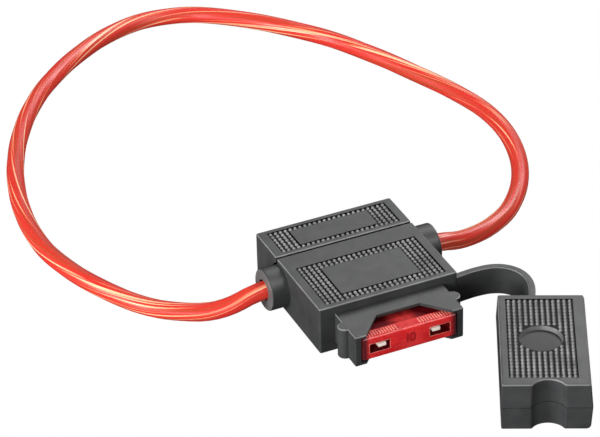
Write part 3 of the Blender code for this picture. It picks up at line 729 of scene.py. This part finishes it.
def grip_tree():
    """A grid of rounded bumps with a plain window or a round dish left free."""
    tree = bpy.data.node_groups.new("grip_bumps", 'GeometryNodeTree')
    tree.is_modifier = True
    for name, kind in (("Geometry", "Geometry"), ("Columns", "Int"), ("Rows", "Int"),
                       ("Pitch", "Float"), ("Window X", "Float"), ("Window Y", "Float"),
                       ("Dish Radius", "Float"), ("Dish Centre", "Vector"),
                       ("Bump Radius", "Float"), ("Bump Height", "Float"),
                       ("Material", "Material")):
        tree.interface.new_socket(name=name, in_out='INPUT', socket_type="NodeSocket" + kind)
    tree.interface.new_socket(name="Geometry", in_out='OUTPUT', socket_type='NodeSocketGeometry')
    given = node(tree, "NodeGroupInput").outputs

    def reach(count):
        return maths('MULTIPLY', maths('SUBTRACT', given[count], 1), given["Pitch"])

    grid = node(tree, "GeometryNodeMeshGrid", Size_X=reach("Columns"), Size_Y=reach("Rows"),
                Vertices_X=given["Columns"], Vertices_Y=given["Rows"])
    position = node(tree, "GeometryNodeInputPosition").outputs["Position"]
    parts = node(tree, "ShaderNodeSeparateXYZ", Vector=position)
    in_x, in_y = (maths('LESS_THAN', maths('ABSOLUTE', parts.outputs[axis]),
                        given["Window " + axis]) for axis in "XY")
    away = node(tree, "ShaderNodeVectorMath", operation='DISTANCE')
    tree.links.new(position, away.inputs[0])
    tree.links.new(given["Dish Centre"], away.inputs[1])
    in_dish = maths('LESS_THAN', away.outputs["Value"], given["Dish Radius"])
    kept = node(tree, "GeometryNodeDeleteGeometry", domain='POINT',
                Geometry=grid.outputs["Mesh"],
                Selection=maths('MAXIMUM', maths('MULTIPLY', in_x, in_y), in_dish))

    ball = node(tree, "GeometryNodeMeshUVSphere", Segments=12, Rings=8,
                Radius=given["Bump Radius"])
    size = node(tree, "ShaderNodeCombineXYZ", X=0.76, Y=0.98,
                Z=maths('DIVIDE', given["Bump Height"], given["Bump Radius"]))
    flat = node(tree, "GeometryNodeTransform", Geometry=ball.outputs["Mesh"],
                Scale=size.outputs["Vector"])
    spread = node(tree, "GeometryNodeInstanceOnPoints", Points=kept.outputs["Geometry"],
                  Instance=flat.outputs["Geometry"])
    smooth = node(tree, "GeometryNodeSetShadeSmooth", Geometry=spread.outputs["Instances"])
    real = node(tree, "GeometryNodeRealizeInstances", Geometry=smooth.outputs["Geometry"])
    painted = node(tree, "GeometryNodeSetMaterial", Geometry=real.outputs["Geometry"],
                   Material=given["Material"])
    node(tree, "NodeGroupOutput", Geometry=painted.outputs["Geometry"])
    return tree


def grip(name, columns, rows, matrix, window=(0.0, 0.0), dish=0.0, dish_centre=(0.0, 0.0)):
    """The bumps of one face as a plain mesh, placed by matrix."""
    sizes = bpy.context.scene.holder_grip
    tree = bpy.data.node_groups.get("grip_bumps") or grip_tree()
    carrier = remember(name, bpy.data.meshes.new(name))
    modifier = carrier.modifiers.new("bumps", 'NODES')
    modifier.node_group = tree
    values = {"Columns": columns, "Rows": rows, "Pitch": sizes.pitch,
              "Window X": window[0], "Window Y": window[1], "Dish Radius": dish,
              "Dish Centre": (*dish_centre, 0.0), "Bump Radius": sizes.radius,
              "Bump Height": sizes.rise + sizes.recess,
              # paler plastic that paints the bumps' highlights
              "Material": grey("bump_plastic", 0.16, 0.32, 0.26)}
    for item in tree.interface.items_tree:
        if item.in_out == 'INPUT' and item.name in values:
            modifier[item.identifier] = values[item.name]
    bake(carrier)
    return place(carrier, matrix)


# Operators

class HOLDER_OT_stage(Operator):
    """Camera, lights, surround and floor."""
    bl_idname = "holder.stage"
    bl_label = "Stage"

    def execute(self, context):
        settings = context.scene.holder_stage
        turn, tilt, roll = settings.camera_turn, settings.camera_tilt, settings.camera_roll
        back = Vector((sin(turn) * cos(tilt), -cos(turn) * cos(tilt), sin(tilt)))
        level = Vector((cos(turn), sin(turn), 0.0))
        upright = back.cross(level)
        right = level * cos(roll) + upright * sin(roll)
        up = upright * cos(roll) - level * sin(roll)
        camera_data = bpy.data.cameras.new("camera")
        camera_data.lens = settings.camera_lens
        camera_data.sensor_width = 36.0
        camera_data.clip_start, camera_data.clip_end = 0.05, 5.0
        camera = remember("camera", camera_data)
        camera.matrix_world = Matrix.Translation(settings.camera_at) @ Matrix(
            (right, up, back)).transposed().to_4x4()
        context.scene.camera = camera

        world = bpy.data.worlds.new("surround")
        context.scene.world = world
        world.use_nodes = True
        tree = world.node_tree
        surround = feed(tree.nodes["Background"], Color=(1.0, 1.0, 1.0, 1.0))
        path = tree.nodes.new("ShaderNodeLightPath")
        feed(surround, Strength=span(path.outputs["Is Camera Ray"], settings.sky, 1.0))

        # Azimuth from -Y towards +X and elevation in degrees, watts, and whether the panel
        # lights the faces, or shows in their gloss only.
        for name, azimuth, elevation, power, diffuse in (
                ("back_right_panel", 120, 40, 3.7, True), ("back_panel", 150, 40, 0.85, True),
                ("left_panel", 270, 15, 4.8, True), ("front_left_panel", 315, 15, 3.1, True),
                ("front_right_panel", 25, 15, 0.7, True), ("edge_panel", 32, 50, 3.0, False)):
            light = bpy.data.lights.new(name, 'AREA')
            light.shape = 'SQUARE'
            light.size = settings.light_size
            light.energy = power
            lamp = remember(name, light)
            lamp.visible_diffuse = diffuse
            round_z, above = radians(azimuth), radians(elevation)
            out = Vector((sin(round_z) * cos(above), -cos(round_z) * cos(above), sin(above)))
            lamp.location = Vector(LIT_POINT) + out * settings.light_distance
            lamp.rotation_mode = 'QUATERNION'
            lamp.rotation_quaternion = (-out).to_track_quat('-Z', 'Y')

        bm = bmesh.new()
        bmesh.ops.create_grid(bm, x_segments=1, y_segments=1, size=FLOOR_HALF)
        floor = from_bmesh("floor", bm)
        floor.data.materials.append(shared(floor_material, "white_floor"))
        context.scene.view_settings.view_transform = 'Standard'
        return {'FINISHED'}


class HOLDER_OT_lead(Operator):
    """The insulated lead, looped from one outlet to the other."""
    bl_idname = "holder.lead"
    bl_label = "Lead"

    def execute(self, context):
        sizes = context.scene.holder_lead
        housing = context.scene.holder_housing
        axis_z = context.scene.holder_fuse.axis_z
        inner = housing.outlet_end - LEAD_INSIDE
        path = [Vector((-inner, housing.outlet_y, axis_z)), *smooth_route(LEAD_ROUTE, LEAD_STEP),
                Vector((inner, housing.outlet_y, axis_z))]
        bm = bmesh.new()
        layer = bm.loops.layers.uv.new("around_along")
        rings, runs, run = [], [], 0.0
        side = Vector((0, 0, 1))
        for k, point in enumerate(path):
            ahead = (path[min(k + 1, len(path) - 1)] - path[max(k - 1, 0)]).normalized()
            side = (side - ahead * side.dot(ahead)).normalized()
            other = ahead.cross(side)
            if k:
                run += (point - path[k - 1]).length
            ring = []
            for i in range(sizes.sides):
                angle = tau * i / sizes.sides
                ridge = cos(sizes.ridges * (angle + tau * run / sizes.strand_twist))
                radius = sizes.radius * (1 - RIDGE_DEPTH + RIDGE_DEPTH * ridge)
                ring.append(bm.verts.new(point + radius * (side * cos(angle) + other * sin(angle))))
            rings.append(ring)
            runs.append(run)
        for k in range(len(rings) - 1):
            for i in range(sizes.sides):
                j = (i + 1) % sizes.sides
                face = bm.faces.new((rings[k][i], rings[k][j], rings[k + 1][j], rings[k + 1][i]))
                face.smooth = True
                corners = ((i, k), (i + 1, k), (i + 1, k + 1), (i, k + 1))
                for corner, (around, along) in zip(face.loops, corners):
                    corner[layer].uv = (around / sizes.sides, runs[along])
        bm.faces.new(rings[0][::-1])
        bm.faces.new(rings[-1])
        bmesh.ops.recalc_face_normals(bm, faces=bm.faces)
        lead = from_bmesh("lead_sleeve", bm)
        lead.data.materials.append(shared(lead_insulation, "lead_insulation",
                                          sizes.strand_twist))
        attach(lead, "holder")
        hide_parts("lead")
        return {'FINISHED'}


class HOLDER_OT_housing(Operator):
    """The housing and its rear cover, each with its frame of grip bumps."""
    bl_idname = "holder.housing"
    bl_label = "Housing and Cover"

    def execute(self, context):
        s, g = context.scene.holder_housing, context.scene.holder_grip
        self.housing(s, g, context.scene.holder_fuse)
        self.cover(s, g, context.scene.holder_fuse.axis_z)
        return {'FINISHED'}

    def housing(self, s, g, f):
        half, mid = s.width / 2, f.axis_z
        seam_y, rim_y = s.front_y + s.depth, s.front_y - s.collar_length
        low, high = about(mid, s.collar_height / 2)
        side_x, rib_y = s.collar_width / 2, s.front_y - RIB_FORWARD
        shell = round_edges(box("housing_shell", (-half, half), (s.front_y, seam_y),
                                (0.0, s.height)), s.edge)
        parts = [round_edges(box("collar", (-side_x, side_x), (rim_y, s.front_y + COLLAR_ROOT),
                                 (low, high)), COLLAR_EDGE, 3)]
        for side in (-1, 1):
            parts.append(round_edges(rod(f"rib_{side}", RIB_RADIUS,
                                         (side * side_x, rib_y, low + RIB_SHORT),
                                         (side * side_x, rib_y, high - RIB_SHORT)),
                                     RIB_EDGE, 2))
            parts.append(round_edges(rod(f"outlet_{side}", s.outlet_radius,
                                         (side * OUTLET_START, s.outlet_y, mid),
                                         (side * s.outlet_end, s.outlet_y, mid)), s.edge))
        join(shell, *parts)

        slot_x, slot_z = f.width / 2 + FIT, f.thickness / 2 + FIT
        room_x, room_y, room_z = CHAMBER
        way_front, way_back = CONTACT_WAY_ENDS
        cutout = [(-s.cutout_front, rim_y - PAST), (s.cutout_front, rim_y - PAST),
                  (s.cutout_front, rim_y), (s.cutout_back, rim_y + s.cutout_depth),
                  (-s.cutout_back, rim_y + s.cutout_depth), (-s.cutout_front, rim_y)]
        cut(shell,
            box("slot", (-slot_x, slot_x), (rim_y - PAST, s.front_y + SLOT_DEPTH),
                about(mid, slot_z)),
            box("chamber", (-room_x, room_x), (seam_y - room_y, seam_y + 4 * PAST),
                about(mid, room_z)),
            rod("cable_way", CABLE_WAY_RADIUS, (-s.outlet_end - PAST, s.outlet_y, mid),
                (s.outlet_end + PAST, s.outlet_y, mid), segments=48),
            plate("cutout", [cutout], -PAST, s.height + PAST),
            *(box(f"contact_way_{side}", sorted(side * x for x in CONTACT_WAY),
                  (s.front_y + way_front, seam_y - way_back),
                  about(mid, CONTACT_WAY_RISE)) for side in (-1, 1)))
        bumps = self.dress(shell, "housing_grip", s.front_y + HOUSING_GRIP, 13, 2, s.height, g)
        # painted shade on the seam face
        paint(shell, shaded(), lambda at, normal: at.y > seam_y - MARGIN)
        # painted highlight on the upper edges
        paint_edges(shell, mid, lambda at: abs(at.x) < half + MARGIN)
        # painted light on the outlets' end faces
        paint(shell, face_light(), lambda at, normal: abs(at.x) > s.outlet_end - MARGIN)
        self.keep(shell, "housing")
        self.keep(bumps)

    def cover(self, s, g, mid):
        half, start = s.width / 2, s.front_y + s.depth + s.seam
        end = start + s.cover_depth
        cover = round_edges(box("cover_shell", (-half, half), (start, end), (0.0, s.height)),
                            s.edge)
        notches = []
        for side in (-1, 1):
            ends = sorted((side * COVER_NOTCH_END, side * (half + PAST)))
            notches.append(rod(f"notch_{side}", s.outlet_radius + FIT,
                               *((x, s.outlet_y, mid) for x in ends)))
        cut(cover, box("hollow", (-half + COVER_WALL, half - COVER_WALL),
                       (start - PAST, end - COVER_WALL), about(mid, CHAMBER[2])),
            *notches)
        reach_x, reach_y = TONGUE
        under, over = TONGUE_RISE
        for side in (-1, 1):
            join(cover,
                 box("tongue", (-reach_x, reach_x), (start - reach_y, start + PAST),
                     sorted((mid + side * over, mid + side * under))),
                 box("tongue_root", (-reach_x, reach_x), [start + y for y in TONGUE_ROOT],
                     sorted((mid + side * TONGUE_ROOT_RISE, mid + side * under))))
        bumps = self.dress(cover, "cover_grip", start + COVER_GRIP, 7, 1, s.height, g)
        # painted shade on the seam face
        paint(cover, shaded(), lambda at, normal: at.y < start + MARGIN)
        # painted highlight on the upper edges
        paint_edges(cover, s.height - COVER_RIM)
        self.keep(cover, "rear_cover")
        self.keep(bumps)

    def dress(self, piece, name, middle, rows, window_rows, top, g):
        """Sink the frame into the top, give the piece its plastic with painted shade in the sunk
        frame, and make the bumps.
        """
        floor = top - g.recess
        reach_x = GRIP_COLUMNS / 2 * g.pitch + GRIP_ROOM_X
        reach_y = rows / 2 * g.pitch + GRIP_ROOM_Y
        window_x = (GRIP_COLUMNS / 2 - GRIP_SIDE_COLUMNS) * g.pitch - GRIP_ROOM_X
        window_y = reach_y - window_rows * g.pitch
        frame = [rectangle(-x, x, *about(middle, y))
                 for x, y in ((reach_x, reach_y), (window_x, window_y))]
        cut(piece, plate("recess", frame, floor, top + PAST))

        def sunk(at, normal):
            if abs(normal.z) > 0.99:
                return floor - NEAR < at.z < top - NEAR
            return abs(normal.z) < 0.01 and floor < at.z < top

        # painted shade on the sunk frame's floor and walls
        paint(finish_shape(piece, black()), shaded(), sunk)
        return grip(name, GRIP_COLUMNS, rows, Matrix.Translation((0, middle, floor)),
                    window=(window_x, window_y))

    def keep(self, piece, replaced=None):
        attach(piece, "holder")
        if replaced:
            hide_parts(replaced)


class HOLDER_OT_cap(Operator):
    """The captive cap, open beside the collar."""
    bl_idname = "holder.cap"
    bl_label = "Cap"

    def execute(self, context):
        c = context.scene.holder_cap
        h = context.scene.holder_housing
        g = context.scene.holder_grip
        spot = Matrix.Translation((*c.mouth, 0.0)) @ Matrix.Rotation(c.turn, 4, 'Z')
        half, mid, top = c.length / 2, c.height / 2, c.height
        notch_y = -half - c.notch_radius + c.notch_depth
        cap = self.shell(c, half, mid)
        cut(cap, rod("notch", c.notch_radius, (c.notch_x, notch_y, -PAST),
                     (c.notch_x, notch_y, top + PAST), segments=96))
        round_edges(weld(cap, SLIVER), CAP_EDGE, 3, 50, clamp=False)
        self.parting_line(cap, c, half, mid, notch_y)
        side_y = h.collar_width / 2
        room_y, room_z = side_y + COLLAR_ROOM, h.collar_height / 2 + COLLAR_ROOM
        rib_x, rib_y = RIB_ROOM[0], side_y + RIB_ROOM[1]
        cut(cap,
            box("cavity", (-PAST, CAVITY_DEPTH), about(0, room_y), about(mid, room_z)),
            box("rib_room", (-PAST, rib_x), about(0, rib_y), about(mid, room_z)))

        grip_x, grip_y = c.dish_at[0], c.grip_y
        reach_x, reach_y = 6 * g.pitch + GRIP_ROOM_X, 12 * g.pitch + GRIP_ROOM_X
        floor, rim = top - g.recess, c.dish_radius + DISH_FLARE
        cut(cap, plate("recess", [rectangle(*about(grip_x, reach_x),
                                            *about(grip_y, reach_y))],
                       floor, top + PAST))
        cut(cap, rod("dish", c.dish_radius, (*c.dish_at, top - c.dish_depth),
                     (*c.dish_at, top), end_radius=rim, segments=96))
        finish_shape(cap, black())
        dish = Vector(c.dish_at)

        def sunk(at, normal):
            if normal.z > 0.99:
                return abs(at.z - floor) < NEAR
            return (abs(normal.z) < 0.1 and floor < at.z < top
                    and abs(at.x - grip_x) < reach_x + NEAR
                    and abs(at.y - grip_y) < reach_y + NEAR)

        # painted shade in the sunk grip frame
        paint(cap, shaded(), sunk)
        # darker plastic that paints shade on the dish's floor
        paint(cap, shared(moulded_plastic, "smooth_plastic", (0.020, 0.020, 0.021),
                          (0.026, 0.026, 0.027), 0.5),
              lambda at, normal: normal.z > 0.9 and abs(at.z - top + c.dish_depth) < 2 * NEAR)
        # painted highlight on the upper edges
        paint_edges(cap, top - CAP_EDGE, lambda at: (at.xy - dish).length > rim + DISH_MARGIN)
        # painted light on the dish's wall
        paint(cap, face_light(), lambda at, normal: (at.xy - dish).length < rim
              and 0.2 < normal.z < 0.6)
        place(cap, spot)
        bumps = grip("cap_grip", 12, 24, spot @ Matrix.Translation((grip_x, grip_y, floor)),
                     dish=rim + DISH_MARGIN, dish_centre=(0.0, c.dish_at[1] - grip_y))
        for piece in (cap, bumps):
            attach(piece, "cap")
        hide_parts("cap")
        return {'FINISHED'}

    def shell(self, c, half, mid):
        """The solid body: its outlines seen from the mouth, from the end and from above."""
        back, foot = c.depth, c.depth - c.draft - c.foot
        ends = [(-half + c.draft, 0.0), (half - c.draft, 0.0), (half, mid),
                (half - c.draft, c.height), (-half + c.draft, c.height), (-half, mid)]
        sides = [(c.draft, 0.0)]
        for k in range(9):
            angle = k / 8 * pi / 2
            sides.append((foot + c.foot * sin(angle), c.foot * (1 - cos(angle))))
        sides += [(back, mid), (back - c.back_draft, c.height - c.chamfer),
                  (back - c.back_draft - c.chamfer, c.height), (c.draft, c.height), (0.0, mid)]
        corner_x, corner_y = CAP_CORNER
        lean = corner_x / corner_y * PAST
        plan = [(-PAST, -CAP_SIDE), (back + PAST, -CAP_SIDE),
                (back + lean, half - corner_y - PAST),
                (back - corner_x - lean, half + PAST), (-PAST, half + PAST)]
        stand_x = Matrix.Rotation(pi / 2, 4, 'X')
        stand_y = Matrix.Rotation(pi / 2, 4, 'Z') @ stand_x
        cap = plate("cap_shell", [ends], -PAST, back + PAST, stand_y)
        return combine(cap, [plate("sides", [sides], -CAP_SIDE, CAP_SIDE, stand_x),
                             plate("plan", [plan], -PAST, c.height + PAST)], 'INTERSECT')

    def parting_line(self, cap, c, half, mid, notch_y):
        """A fine groove round the middle, following the notch."""
        sunk = PARTING_DEPTH
        inner = [(sunk, half - sunk), (sunk, -half + sunk)]
        reach = c.notch_radius + sunk
        spread = (reach ** 2 - (-half + sunk - notch_y) ** 2) ** 0.5
        lean = atan2(-half + sunk - notch_y, spread)
        for k in range(25):
            angle = pi - lean - k / 24 * (pi - 2 * lean)
            inner.append((c.notch_x + reach * cos(angle), notch_y + reach * sin(angle)))
        corner_x = c.depth - CAP_CORNER[0] - PARTING_CORNER[0]
        corner_y = half - CAP_CORNER[1] - PARTING_CORNER[1]
        inner += [(c.depth - sunk, -half + sunk), (c.depth - sunk, corner_y),
                  (corner_x, half - sunk)]
        outer = rectangle(-PAST, c.depth + PAST, -half - PAST, half + PAST)
        cut(cap, plate("parting", [outer, inner], *about(mid, c.parting / 2)))


class HOLDER_OT_strap(Operator):
    """The strap that holds the cap to the housing."""
    bl_idname = "holder.strap"
    bl_label = "Strap"

    def execute(self, context):
        line = smooth_route([(x, y, 0) for x, y in STRAP_ROUTE], STRAP_STEP)
        left, right = [], []
        for k, point in enumerate(line):
            ahead = line[min(k + 1, len(line) - 1)] - line[max(k - 1, 0)]
            across = Vector((-ahead.y, ahead.x)).normalized() * STRAP_HALF_THICK
            left.append((point.x + across.x, point.y + across.y))
            right.append((point.x - across.x, point.y - across.y))
        strap = plate("strap_band", [left + right[::-1]], STRAP_BOTTOM, STRAP_TOP)
        round_edges(strap, STRAP_EDGE, 3, 60)
        # painted highlight on the strap's upper edges
        paint_edges(finish_shape(strap, black(), 40), STRAP_HIGHLIGHT_FROM)
        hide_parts("cap_strap")
        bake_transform(strap)
        return {'FINISHED'}


class HOLDER_OT_fuse(Operator):
    """The blade fuse: clear head, fine teeth and stamped element."""
    bl_idname = "holder.fuse"
    bl_label = "Fuse"

    def execute(self, context):
        f = context.scene.holder_fuse
        self.head(f, f.front_y, f.axis_z, f.thickness / 2)
        self.trim(f, f.front_y, f.axis_z, f.thickness / 2)
        self.rating(f.front_y, f.axis_z)
        self.element(f.front_y, f.axis_z)
        return {'FINISHED'}

    def head(self, f, front, mid, rise):
        half, head_end = f.width / 2, front + f.head_depth
        skirt_end = head_end + f.skirt_depth
        (skirt_x, skirt_z), (way_x, way_z) = SKIRT, ELEMENT_WAY
        (window_x, window_z), (panel_x, panel_depth) = WINDOW, PANEL
        head = round_edges(box("fuse_head", (-half, half), (front, head_end),
                               about(mid, rise)), HEAD_EDGE)
        join(head, box("skirt", (-skirt_x, skirt_x), (front + SKIRT_START, skirt_end),
                       about(mid, skirt_z)))
        cut(head,
            box("element_way", (-way_x, way_x), (front + ELEMENT_WAY_START, skirt_end + PAST),
                about(mid, way_z)),
            *(box(f"window_{side}", about(side * f.window_x, window_x),
                  (front - PAST, front + WINDOW_DEPTH), about(mid, window_z))
              for side in (-1, 1)),
            *(box(f"panel_{level}", (-panel_x, panel_x), (front + PANEL_START, head_end + PAST),
                  sorted((mid + level * (rise - panel_depth), mid + level * (rise + PAST))))
              for level in (-1, 1)))
        finish_shape(head, shared(clear_red, "clear_red"))
        behind_shade = shared(deep_red, "deep_red")
        strip = shared(tinted, "strip_red", (0.58, 0.020, 0.024), (0.72, 0.045, 0.042), 0.45, 0.12)
        paint(head, strip, lambda at, normal: abs(normal.z) > 0.99
              and abs(at.z - mid) > rise - MARGIN)
        # painted shade on the sunk panels and inside the test windows
        paint(head, behind_shade, lambda at, normal: abs(at.x) < skirt_x
              and at.y > front + PANEL_START - MARGIN and abs(at.z - mid) < rise - MARGIN)
        paint(head, behind_shade, lambda at, normal: front + MARGIN < at.y < front + WINDOW_DEPTH + 2 * MARGIN
              and abs(at.z - mid) < window_z + 2 * NEAR
              and abs(abs(at.x) - f.window_x) < window_x + 2 * NEAR)
        self.keep(head, "fuse_body", "clear_red_plastic")

    def trim(self, f, front, mid, rise):
        """Fine teeth along the head's edges and a thin raised rim round each window, paler red for a
        painted highlight.
        """
        bm = bmesh.new()

        def block(at, size):
            bmesh.ops.create_cube(bm, size=1.0, matrix=Matrix.Translation(at)
                                  @ Matrix.Diagonal((*size, 1.0)))

        for side in (-1, 1):
            for k in range(f.teeth):
                for level in (-1, 1):
                    block((side * (TOOTH_FIRST + TOOTH_PITCH * k), front + TOOTH_BACK,
                           mid + level * (rise - TOOTH_SUNK)), TOOTH)
        rim, (reach_x, reach_z) = WINDOW_RIM, WINDOW
        z0, z1 = about(mid, reach_z)
        for side in (-1, 1):
            x0, x1 = about(side * f.window_x, reach_x)
            for x, z in (((x0 - rim, x0), (z0 - rim, z1 + rim)),
                         ((x1, x1 + rim), (z0 - rim, z1 + rim)),
                         ((x0, x1), (z1, z1 + rim)), ((x0, x1), (z0 - rim, z0))):
                block((sum(x) / 2, front, sum(z) / 2), (x[1] - x[0], rim, z[1] - z[0]))
        teeth = round_edges(from_bmesh("fuse_teeth", bm), TOOTH_EDGE, 2)
        # paler red that paints the highlight on the teeth and rims
        finish_shape(teeth, shared(tinted, "light_red", (0.80, 0.13, 0.11),
                                   (0.92, 0.24, 0.19), 0.4, 0.3))
        self.keep(teeth, None, "clear_red_plastic")

    def rating(self, front, mid):
        """The rating in amperes, slightly raised on the head's face."""
        figures = bpy.data.curves.new("fuse_rating", 'FONT')
        figures.body = "10"
        figures.size = NUMBER_SIZE
        figures.extrude = NUMBER_RISE
        figures.offset = NUMBER_BOLD
        figures.space_character = 0.8
        figures.align_x = figures.align_y = 'CENTER'
        text = remember("rating_text", figures)
        number = remember("fuse_rating", evaluated(text))
        discard(text)
        place(number, Matrix.Translation((0, front - NUMBER_OUT, mid))
              @ Matrix.Rotation(pi / 2, 4, 'X'))
        finish_shape(number, shared(tinted, "number_red", (0.42, 0.008, 0.012),
                                    (0.50, 0.014, 0.018), 0.3))
        self.keep(number, None, "clear_red_plastic")

    def element(self, front, mid):
        """Two pointed blades, two test tabs and the link between them, from one sheet."""
        (inner, outer), (point_x, point_y) = BLADE, BLADE_POINT
        shoulder, link_y = front + SHOULDER, front + LINK_BACK
        right = [(0.0, front + LINK_FACE), (LINK_HALF, front + LINK_FACE), (LINK_ROOT_X, link_y),
                 (LINK_ROOT_X, shoulder), (TAB_X - TAB_HALF, shoulder),
                 (TAB_X - TAB_HALF, front + TAB_FACE), (TAB_X + TAB_HALF, front + TAB_FACE),
                 (TAB_X + TAB_HALF, shoulder), (outer, shoulder), (outer, 0.0),
                 (outer - point_x, point_y), (inner + point_x, point_y), (inner, 0.0),
                 (inner, front + LINK_ROOT), (LINK_HALF, link_y), (0.0, link_y)]
        left = [(-x, y) for x, y in reversed(right) if x > 0]
        element = plate("fuse_metal", [right + left], *about(mid, SHEET_HALF))
        round_edges(element, SHEET_EDGE, 2)
        self.keep(finish_shape(element, shared(tinned, "tinned_sheet")), "fuse_element",
                  "tinned_metal")

    def keep(self, piece, replaced, slot):
        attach(piece, "fuse")
        if replaced:
            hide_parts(replaced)


class HOLDER_OT_inner_metal(Operator):
    """Materials of the contacts and the bared conductors inside the housing."""
    bl_idname = "holder.inner_metal"
    bl_label = "Inner Metal"

    def execute(self, context):
        brass = shared(metal, "stamped_brass", (0.52, 0.36, 0.13), (0.80, 0.62, 0.30), 0.3)
        copper = shared(metal, "bare_copper", (0.60, 0.24, 0.12), (0.86, 0.46, 0.28), 0.34)
        for name, material in (("contact_left", brass), ("contact_right", brass),
                               ("conductor_left", copper), ("conductor_right", copper)):
            obj = bpy.data.objects[name]
            obj.data.materials.clear()
            obj.data.materials.append(material)
        return {'FINISHED'}


class HOLDER_PT_panel(Panel):
    """The sizes and the build steps, in the sidebar."""
    bl_label = "Fuse Holder"
    bl_idname = "HOLDER_PT_panel"
    bl_space_type = 'VIEW_3D'
    bl_region_type = 'UI'
    bl_category = "Fuse Holder"

    def draw(self, context):
        for step in STEPS:
            self.layout.operator(step.bl_idname)
        for name in GROUPS:
            group = getattr(context.scene, name)
            column = self.layout.column(align=True)
            for key in group.bl_rna.properties.keys():
                if key not in ("rna_type", "name"):
                    column.prop(group, key)


GROUPS = {"holder_housing": HousingSizes, "holder_cap": CapSizes, "holder_grip": GripSizes,
          "holder_fuse": FuseSizes, "holder_lead": LeadSizes, "holder_stage": StageSettings}
STEPS = (HOLDER_OT_stage, HOLDER_OT_lead, HOLDER_OT_housing, HOLDER_OT_cap, HOLDER_OT_strap,
         HOLDER_OT_fuse, HOLDER_OT_inner_metal)
CLASSES = (*GROUPS.values(), *STEPS, HOLDER_PT_panel)


def register():
    for cls in CLASSES:
        bpy.utils.register_class(cls)
    for name, cls in GROUPS.items():
        setattr(bpy.types.Scene, name, PointerProperty(type=cls))


def unregister():
    for name in GROUPS:
        delattr(bpy.types.Scene, name)
    for cls in reversed(CLASSES):
        bpy.utils.unregister_class(cls)


def main():
    register()
    bpy.ops.holder.stage()
    bpy.ops.holder.lead()
    bpy.ops.holder.housing()
    bpy.ops.holder.cap()
    bpy.ops.holder.strap()
    bpy.ops.holder.fuse()
    bpy.ops.holder.inner_metal()


if __name__ == "__main__":
    main()
